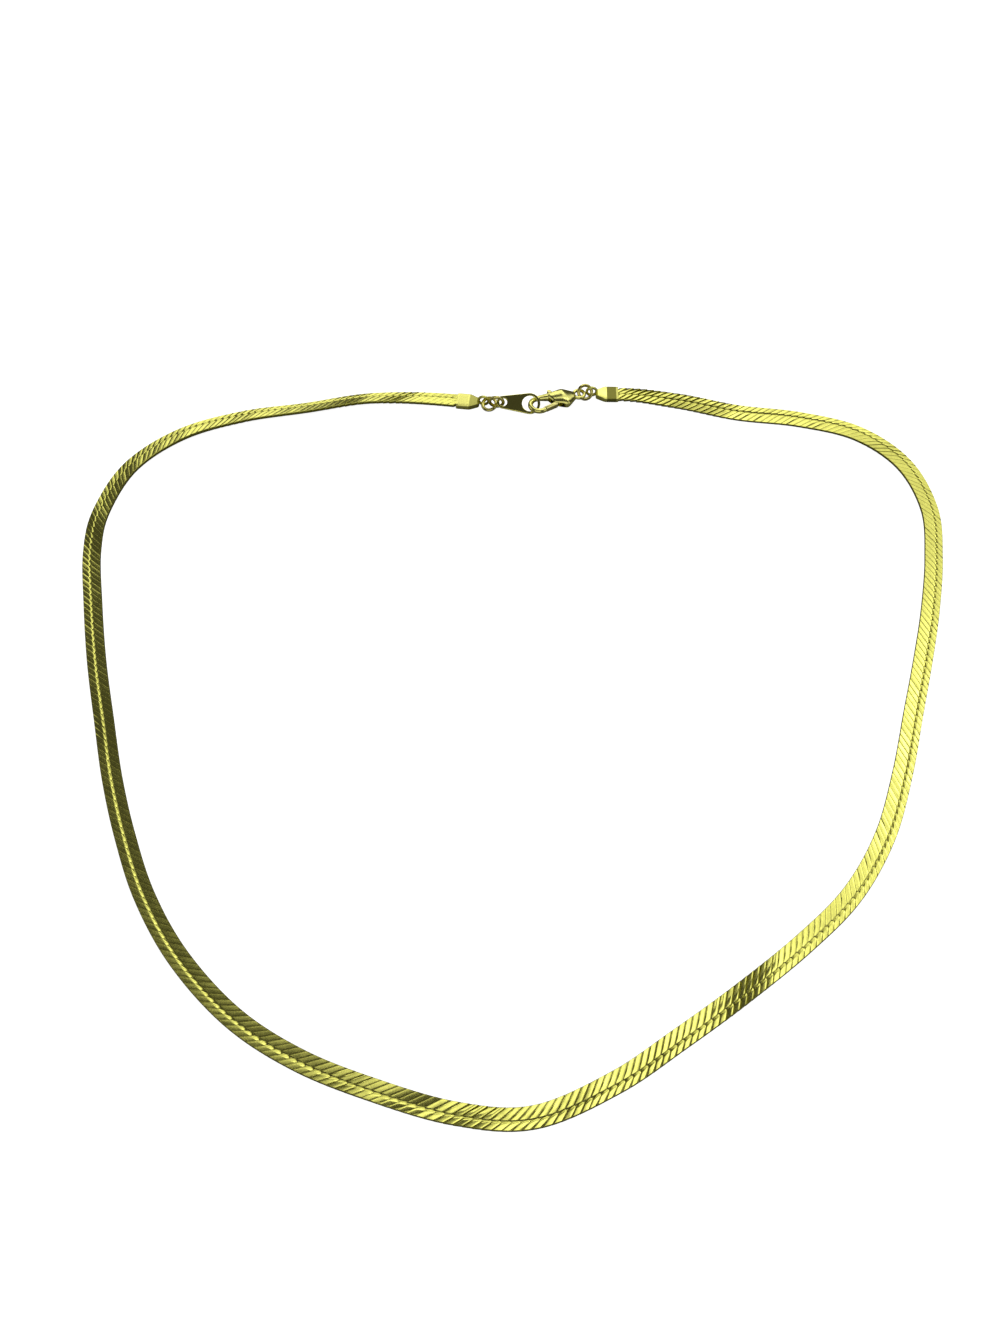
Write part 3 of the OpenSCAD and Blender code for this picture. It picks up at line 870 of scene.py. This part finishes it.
    def laid(self, points: Array) -> Array:
        """Points of the clasp's own frame, laid at its place in the drawing."""
        lay = self.layout
        points = turn_z(points, lay.clasp_heading)
        return points + np.array([lay.tail_eye[0], lay.tail_eye[1], lay.clasp_t / 2])


def block(low: list, high: list) -> Shell:
    """A cutting block between two corners."""
    corner = np.array([[x, y, z] for x in (0, 1) for y in (0, 1) for z in (0, 1)], float)
    points = np.array(low) + corner * (np.array(high) - np.array(low))
    faces = [[0, 1, 3, 2], [4, 6, 7, 5], [0, 4, 5, 1], [2, 3, 7, 6], [0, 2, 6, 4], [1, 5, 7, 3]]
    return Shell(points, faces, np.zeros(8))


def raw_mesh(name: str, shell: Shell) -> bpy.types.Mesh:
    """Puts a shell into a new mesh, with its painted shade values and its faces pointing outwards.

    Args:
        name: Name of the mesh.
        shell: The shell.

    Returns:
        The mesh, still in the shell's own units.
    """
    mesh = bpy.data.meshes.new(name)
    mesh.from_pydata(shell.points.tolist(), [], shell.faces)
    # Painted shade, kept on each point.
    groove = mesh.attributes.new("groove", "FLOAT", "POINT")
    groove.data.foreach_set("value", np.asarray(shell.groove, np.float32))
    work = bmesh.new()
    work.from_mesh(mesh)
    bmesh.ops.remove_doubles(work, verts=work.verts, dist=1e-5)
    bmesh.ops.recalc_face_normals(work, faces=work.faces)
    work.to_mesh(mesh)
    work.free()
    mesh.update()
    return mesh


def mesh_points(mesh: bpy.types.Mesh) -> Array:
    """The points of a mesh as an array (n, 3)."""
    flat = np.empty(len(mesh.vertices) * 3)
    mesh.vertices.foreach_get("co", flat)
    return flat.reshape(-1, 3)


def put_up(name: str, data: bpy.types.ID) -> bpy.types.Object:
    """A new object of the scene that shows a mesh, a light or a camera."""
    obj = bpy.data.objects.new(name, data)
    bpy.context.collection.objects.link(obj)
    return obj


def round_edges(obj: bpy.types.Object, width: float) -> None:
    """Adds a bevel, its width in millimetres, on the edges that turn by more than 50 degrees."""
    edge = obj.modifiers.new("rounded_edges", "BEVEL")
    edge.width = width
    edge.segments = 2
    edge.limit_method = "ANGLE"
    edge.angle_limit = math.radians(50)


def settled(obj: bpy.types.Object) -> bpy.types.Mesh:
    """The mesh that an object's modifiers give, as a new mesh, with the modifiers taken off."""
    graph = bpy.context.evaluated_depsgraph_get()
    mesh = bpy.data.meshes.new_from_object(obj.evaluated_get(graph))
    obj.modifiers.clear()
    obj.data = mesh
    return mesh


def finished(name: str, mesh: bpy.types.Mesh, points: Array, crease: float) -> bpy.types.Object:
    """A piece from a mesh whose points are replaced by their places in the frame, in metres.

    Args:
        name: Name of the piece.
        mesh: Mesh with the faces.
        points: The places of its points, in metres.
        crease: Angle in degrees past which an edge is shaded sharp.

    Returns:
        The piece, at the origin, linked to the scene.
    """
    mesh.vertices.foreach_set("co", np.asarray(points, np.float32).ravel())
    mesh.polygons.foreach_set("use_smooth", np.ones(len(mesh.polygons), bool))
    mesh.set_sharp_from_angle(angle=math.radians(crease))
    mesh.update()
    mesh.name = name
    return put_up(name, mesh)


def feed(tree: bpy.types.NodeTree, made: bpy.types.Node, inputs: dict) -> None:
    """Sets a node's inputs.

    Args:
        tree: The tree that the node is in.
        made: The node.
        inputs: By an input's name or number, its fixed value or the output that feeds it.
    """
    for name, value in inputs.items():
        if isinstance(value, bpy.types.NodeSocket):
            tree.links.new(value, made.inputs[name])
        else:
            made.inputs[name].default_value = value


def node(tree: bpy.types.NodeTree, kind: str, inputs: dict, **settings: object) -> bpy.types.Node:
    """Adds a node.

    Args:
        tree: The tree that it goes into.
        kind: What it is, after the word ShaderNode.
        inputs: Its inputs, as feed takes them.
        settings: Its other settings, which are made before its inputs.

    Returns:
        The node.
    """
    made = tree.nodes.new(f"ShaderNode{kind}")
    for name, value in settings.items():
        setattr(made, name, value)
    feed(tree, made, inputs)
    return made


def new_material(name: str) -> tuple[bpy.types.Material, bpy.types.NodeTree, bpy.types.Node]:
    """A new material, its node tree and its Principled BSDF."""
    made = bpy.data.materials.new(name)
    made.use_nodes = True
    return made, made.node_tree, made.node_tree.nodes["Principled BSDF"]


def surface_group() -> bpy.types.ShaderNodeTree:
    """The wear and painted shade that every gold finish shares: random tone, haze and fine
    scratches, and the painted shade of each point, which darkens it towards the second colour.

    Inputs are the metal's colour, the colour of the painted shade and tarnish, how much shade is
    painted on a point, the polish, and the size of the wear. Outputs are Color, Roughness and
    Height.

    Returns:
        The node group.
    """
    tree = bpy.data.node_groups.new("gold_wear_and_painted_shade", "ShaderNodeTree")
    for name, kind, value in (("Metal", "Color", (0.9, 0.8, 0.2, 1.0)),
                              ("Tarnish", "Color", (0.1, 0.1, 0.0, 1.0)),
                              ("Groove", "Float", 0.0), ("Polish", "Float", 0.15),
                              ("Scale", "Float", 900.0)):
        socket = tree.interface.new_socket(name, in_out="INPUT", socket_type=f"NodeSocket{kind}")
        socket.default_value = value
    for name, kind in (("Color", "Color"), ("Roughness", "Float"), ("Height", "Float")):
        tree.interface.new_socket(name, in_out="OUTPUT", socket_type=f"NodeSocket{kind}")
    given, leave = tree.nodes.new("NodeGroupInput").outputs, tree.nodes.new("NodeGroupOutput")
    where = node(tree, "TexCoord", {}).outputs["Object"]
    blotch = node(tree, "TexNoise", {"Vector": where, "Scale": given["Scale"], "Detail": 3.0})
    stretch = node(tree, "Mapping", {"Vector": where, "Rotation": (0.0, 0.0, 0.6),
                                     "Scale": (1.0, 7.0, 1.0)})
    scratch = node(tree, "TexNoise", {"Vector": stretch.outputs["Vector"], "Scale": 2600.0,
                                      "Detail": 4.0})
    dull = node(tree, "MapRange", {"Value": blotch.outputs["Fac"], "From Min": 0.35,
                                   "From Max": 0.75, "To Max": 0.22})
    # Mix factor: the larger of the painted shade and the random tarnish blotches.
    deep = node(tree, "Math", {0: given["Groove"], 1: dull.outputs["Result"]},
                operation="MAXIMUM").outputs["Value"]
    tone = node(tree, "Mix", {"Factor": deep, "A": given["Metal"], "B": given["Tarnish"]},
                data_type="RGBA")
    haze = node(tree, "Math", {0: deep, 1: 0.35, 2: given["Polish"]}, operation="MULTIPLY_ADD")
    feed(tree, leave, {"Color": tone.outputs["Result"], "Roughness": haze.outputs["Value"],
                       "Height": scratch.outputs["Fac"]})
    return tree


@dataclass(frozen=True)
class GoldFinish:
    """A polished gold-tone plating.

    Attributes:
        name: Name of the material.
        metal: Linear colour of the open metal.
        tarnish: Linear colour of the painted shade in the grooves and of the random tarnish
            blotches.
        polish: Roughness of the open metal.
        scale: Size of the blotches, as a noise scale per metre.
        scratch: Strength of the fine scratches.
    """

    name: str
    metal: tuple
    tarnish: tuple
    polish: float
    scale: float = 900.0
    scratch: float = 0.06

    def material(self, group: bpy.types.ShaderNodeTree) -> bpy.types.Material:
        """The material, with the shared wear and painted shade group set to this finish.

        Args:
            group: The wear group.

        Returns:
            The material.
        """
        made, tree, shader = new_material(self.name)
        # The painted shade that each point carries.
        groove = node(tree, "Attribute", {}, attribute_name="groove")
        wear_and_shade = node(tree, "Group", {
            "Metal": (*self.metal, 1.0), "Tarnish": (*self.tarnish, 1.0), "Polish": self.polish,
            "Scale": self.scale, "Groove": groove.outputs["Fac"]}, node_tree=group)
        bump = node(tree, "Bump", {"Strength": self.scratch, "Distance": 0.00002,
                                   "Height": wear_and_shade.outputs["Height"]})
        feed(tree, shader, {
            "Metallic": 1.0, "Base Color": wear_and_shade.outputs["Color"],
            "Roughness": wear_and_shade.outputs["Roughness"], "Normal": bump.outputs["Normal"]})
        return made


# Second colour of each finish: the painted shade where a point's shade value is set, and the random
# tarnish blotches.
WOVEN = GoldFinish("woven_gold", (0.87, 0.85, 0.19), (0.18, 0.17, 0.012), 0.16)
# The links under the bars: both colours are painted shade, dark all over.
CORE = GoldFinish("shadowed_links", (0.16, 0.14, 0.01), (0.16, 0.14, 0.01), 0.45)
CAP = GoldFinish("cap_gold", (0.88, 0.85, 0.22), (0.2, 0.19, 0.03), 0.14, 500.0)
RING = GoldFinish("ring_gold", (0.82, 0.74, 0.22), (0.2, 0.16, 0.03), 0.13, 700.0)
TAG = GoldFinish("tag_gold", (0.84, 0.8, 0.2), (0.2, 0.17, 0.03), 0.08, 400.0, 0.03)
CLASP = GoldFinish("clasp_gold", (0.9, 0.86, 0.25), (0.2, 0.17, 0.03), 0.14, 500.0)
LEVER = GoldFinish("lever_gold", (0.8, 0.74, 0.26), (0.2, 0.17, 0.03), 0.16, 500.0)


@dataclass
class Necklace:
    """The whole necklace: makes each piece, dresses it and puts it on its body."""

    layout: Layout
    group: bpy.types.ShaderNodeTree
    made: dict = field(default_factory=dict)

    def dress(self, piece: bpy.types.Object, finish: GoldFinish, body: str,
              nodes: tuple) -> None:
        """Gives a piece its finish and its body, and hides the nodes that it stands for.

        Args:
            piece: The piece.
            finish: Its finish.
            body: The body that it rides on.
            nodes: Names of the nodes that it replaces.
        """
        if finish.name not in self.made:
            self.made[finish.name] = finish.material(self.group)
        piece.data.materials.clear()
        piece.data.materials.append(self.made[finish.name])
        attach(piece, body)
        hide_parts(*nodes)
        LOG.info("%s: %d faces", piece.name, len(piece.data.polygons))

    def plain(self, name: str, shell: Shell, crease: float = 40.0) -> bpy.types.Object:
        """A piece straight from a shell of the drawing."""
        mesh = raw_mesh(name, shell)
        return finished(name, mesh, self.layout.to_frame(mesh_points(mesh)), crease)

    def weave(self) -> None:
        """The two rows of bars and the links under them, dark with painted shade."""
        weave = Weave(Line(self.layout))
        for row in Row:
            piece = self.plain(f"chain_bars_{row.name.lower()}", weave.bars(row), 50.0)
            self.dress(piece, WOVEN, "necklace", ("chain_band",))
        core = self.plain("chain_core", weave.core())
        self.dress(core, CORE, "necklace", ("chain_band",))

    def caps(self) -> None:
        """The two end caps."""
        lay = self.layout
        # Painted shade on the caps: 0.9 on the right collar, a dark reflection there; 0.2 on the
        # left collar and 0.6 on the left nose, which lie in shade.
        for name, cap, mouth, way in (
                ("end_cap_right", EndCap(lay, 0.9, 0.0), lay.right_mouth, lay.right_cap_heading),
                ("end_cap_left", EndCap(lay, 0.2, 0.6), lay.left_mouth,
                 lay.left_cap_heading + 180)):
            piece = self.plain(f"{name}_sleeve", cap.built(mouth, way), 30.0)
            self.dress(piece, CAP, "necklace", (name,))

    def rings(self) -> None:
        """The three jump rings."""
        lay = self.layout
        for name, place, z, axis, lean, slit_at in (
                ("jump_ring_right", lay.right_ring, lay.ring_z(lay.right_ring_lean),
                 lay.right_ring_heading + lay.right_ring_twist, lay.right_ring_lean, 100.0),
                ("jump_ring_left_inner", lay.inner_ring, lay.inner_z,
                 lay.inner_ring_heading, lay.inner_ring_lean, 60.0),
                ("jump_ring_left_outer", lay.outer_ring,
                 lay.ring_z(lay.outer_ring_lean, lay.outer_ring_up),
                 lay.outer_ring_heading + lay.outer_ring_twist, lay.outer_ring_lean, 250.0)):
            ring = JumpRing(lay, place, z, axis, lean, slit_at)
            piece = self.plain(f"{name}_wire", ring.built())
            self.dress(piece, RING, "necklace", (name,))

    def tag(self) -> None:
        """The tag: its middle surface thickened, its edges rounded over, then laid in place."""
        tag = Tag(self.layout)
        helper = put_up("tag_helper", raw_mesh("tag_helper", tag.flat()))
        thick = helper.modifiers.new("thickness", "SOLIDIFY")
        thick.thickness = self.layout.tag_t
        thick.offset = 0.0
        round_edges(helper, 0.07)
        mesh = settled(helper)
        bpy.data.objects.remove(helper)
        points = self.layout.to_frame(tag.laid(mesh_points(mesh)))
        piece = finished("tag_plate_polished", mesh, points, 30.0)
        self.dress(piece, TAG, "necklace", ("tag_plate",))

    def clasp(self) -> None:
        """The claw, cast in one with its hook and tail, and cut out for the lever."""
        clasp = Clasp(self.layout)
        solid = joined([clasp.belly(), clasp.hook(), clasp.tail()])
        helper = put_up("claw_helper", raw_mesh("claw_helper", solid))
        cast = helper.modifiers.new("one_casting", "REMESH")
        cast.mode = "VOXEL"
        cast.voxel_size = 0.1
        soft = helper.modifiers.new("soft_fillets", "SMOOTH")
        soft.factor = 0.5
        soft.iterations = 5
        settled(helper)
        cutters = []
        for number, room in enumerate(clasp.rooms()):
            name = f"lever_room_{number}"
            cutter = put_up(name, raw_mesh(name, room))
            cut = helper.modifiers.new(name, "BOOLEAN")
            cut.operation = "DIFFERENCE"
            cut.solver = "EXACT"
            cut.object = cutter
            cutters.append(cutter)
        mesh = settled(helper)
        for obj in [helper, *cutters]:
            bpy.data.objects.remove(obj)
        points = self.layout.to_frame(clasp.laid(mesh_points(mesh)))
        piece = finished("clasp_body_claw", mesh, points, 40.0)
        self.dress(piece, CLASP, "necklace", ("clasp_body",))

    def lever(self) -> None:
        """The lever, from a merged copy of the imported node, with its edges rounded over."""
        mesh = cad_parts["clasp_lever"].data.copy()
        work = bmesh.new()
        work.from_mesh(mesh)
        bmesh.ops.remove_doubles(work, verts=work.verts, dist=1e-7)
        bmesh.ops.scale(work, vec=(1 / MM, 1 / MM, 1 / MM), verts=work.verts)
        bmesh.ops.dissolve_limit(work, angle_limit=math.radians(1.0), verts=work.verts,
                                 edges=work.edges)
        work.to_mesh(mesh)
        work.free()
        helper = put_up("lever_helper", mesh)
        round_edges(helper, 0.08)
        done = settled(helper)
        bpy.data.objects.remove(helper)
        piece = finished("clasp_lever_gate", done, mesh_points(done) * MM, 40.0)
        self.dress(piece, LEVER, "lever", ("clasp_lever",))

    def build(self) -> None:
        """Builds every piece."""
        self.weave()
        self.caps()
        self.rings()
        self.tag()
        self.clasp()
        self.lever()


@dataclass(frozen=True)
class Softbox:
    """A soft square light that faces the middle of the table.

    Attributes:
        name: Name of the light.
        turn: Direction from the table's middle, in degrees from +X.
        height: Elevation over the table, in degrees.
        away: Distance in metres.
        size: Side of the square in metres.
        glow: Radiance of its face.
    """

    name: str
    turn: float
    height: float
    away: float
    size: float
    glow: float

    def hang(self) -> None:
        """Puts the light into the scene. Its power is pi times its area times its radiance."""
        light = bpy.data.lights.new(self.name, "AREA")
        light.shape = "SQUARE"
        light.size = self.size
        light.energy = math.pi * self.size ** 2 * self.glow
        level = math.cos(math.radians(self.height))
        rise = math.sin(math.radians(self.height))
        place = self.away * np.array([*(level * heading(self.turn)), rise])
        obj = put_up(self.name, light)
        obj.location = place
        obj.rotation_euler = look_along(-place)


def grey(level: float) -> tuple:
    """An opaque grey, as a linear colour."""
    return (level, level, level, 1.0)


def look_along(direction: Array) -> tuple:
    """Euler angles that point an object's -Z along a direction, with its +Y upwards."""
    flat = math.hypot(direction[0], direction[1])
    return (math.atan2(flat, -direction[2]), 0.0, math.atan2(-direction[0], direction[1]))


@dataclass(frozen=True)
class Studio:
    """The pale table, the soft lights and the camera of the photograph.

    Attributes:
        elevation: The camera's angle over the table, in degrees.
        distance: From the camera to the spot it looks at, in millimetres.
        focus: Focal length in pixels of the photograph.
        tall: Height of the photograph in pixels.
        aim: The spot that the camera looks at, in the drawing.
        reach: Half the side of the table top, in metres.
        seen: Grey of the table top, and its own glow, to the camera.
        mirrored: Its grey to the light and in the metal's reflections, where it has no glow.
        room: Strength of the dim room's white light.
        backdrop: Grey that the camera sees past the table's edge.
    """

    layout: Layout
    elevation: float = 55.0
    distance: float = 236.36
    focus: float = 1300.0
    tall: float = 1333.0
    aim: tuple = (-3.1, 4.6, 0.0)
    reach: float = 1.5
    seen: tuple = (0.9, 0.88)
    mirrored: float = 0.3
    room: float = 0.055
    backdrop: float = 0.93

    def camera(self) -> None:
        """Puts up the camera."""
        data = bpy.data.cameras.new("photograph_camera")
        data.sensor_width = 36.0
        data.lens = self.focus / self.tall * data.sensor_width
        data.clip_start = 0.01
        obj = put_up("photograph_camera", data)
        tilt = math.radians(self.elevation)
        spot = self.layout.to_frame(np.array(self.aim))
        back = np.array([0.0, -math.cos(tilt), math.sin(tilt)]) * self.distance * MM
        obj.location = spot + back
        obj.rotation_euler = (math.pi / 2 - tilt, 0.0, 0.0)
        bpy.context.scene.camera = obj

    def table(self) -> None:
        """Lays the pale table top under the necklace."""
        corners = [(x * self.reach, y * self.reach, 0.0)
                   for x, y in ((-1, -1), (1, -1), (1, 1), (-1, 1))]
        mesh = bpy.data.meshes.new("table_top")
        mesh.from_pydata(corners, [], [[0, 1, 2, 3]])
        white, tree, shader = new_material("table_white")
        feed(tree, shader, {"Roughness": 0.9, "Specular IOR Level": 0.0, "Emission Strength": 1.0})
        seen = node(tree, "LightPath", {}).outputs["Is Camera Ray"]
        base, glow = self.seen
        for socket, dim, bright in (("Base Color", self.mirrored, base),
                                    ("Emission Color", 0.0, glow)):
            mix = node(tree, "Mix", {"Factor": seen, "A": grey(dim), "B": grey(bright)},
                       data_type="RGBA")
            feed(tree, shader, {socket: mix.outputs["Result"]})
        mesh.materials.append(white)
        put_up("table_top", mesh)

    def lights(self) -> None:
        """Hangs the soft lights and sets the dim room round them."""
        for box in (Softbox("window_right", 55, 55, 0.75, 0.75, 0.84),
                    Softbox("window_glare", 42, 48, 0.72, 0.16, 2.2),
                    Softbox("window_back", 100, 27, 0.75, 0.41, 1.25),
                    Softbox("lamp_over", 93, 73, 0.75, 0.22, 0.6),
                    Softbox("lamp_front", 70, 74, 0.75, 0.26, 0.55),
                    Softbox("wall_front", -105, 32, 0.85, 0.85, 0.7),
                    Softbox("wall_left", 172, 24, 0.85, 0.6, 0.5),
                    Softbox("wall_right", -18, 24, 0.85, 0.6, 0.6)):
            box.hang()
        world = bpy.data.worlds.new("dim_room")
        world.use_nodes = True
        tree = world.node_tree
        dim = tree.nodes["Background"]
        feed(tree, dim, {"Color": grey(1.0), "Strength": self.room})
        pale = node(tree, "Background", {"Color": grey(self.backdrop)})
        seen = node(tree, "LightPath", {}).outputs["Is Camera Ray"]
        mix = node(tree, "MixShader", {
            "Fac": seen, 1: dim.outputs["Background"], 2: pale.outputs["Background"]})
        feed(tree, tree.nodes["World Output"], {"Surface": mix.outputs["Shader"]})
        bpy.context.scene.world = world
        bpy.context.scene.view_settings.view_transform = "Standard"


def main() -> None:
    """Sets up the studio and builds the necklace."""
    logging.basicConfig(level=logging.INFO, format="%(message)s")
    layout = Layout()
    studio = Studio(layout)
    studio.camera()
    studio.table()
    studio.lights()
    Necklace(layout, surface_group()).build()


if __name__ == "__main__":
    main()
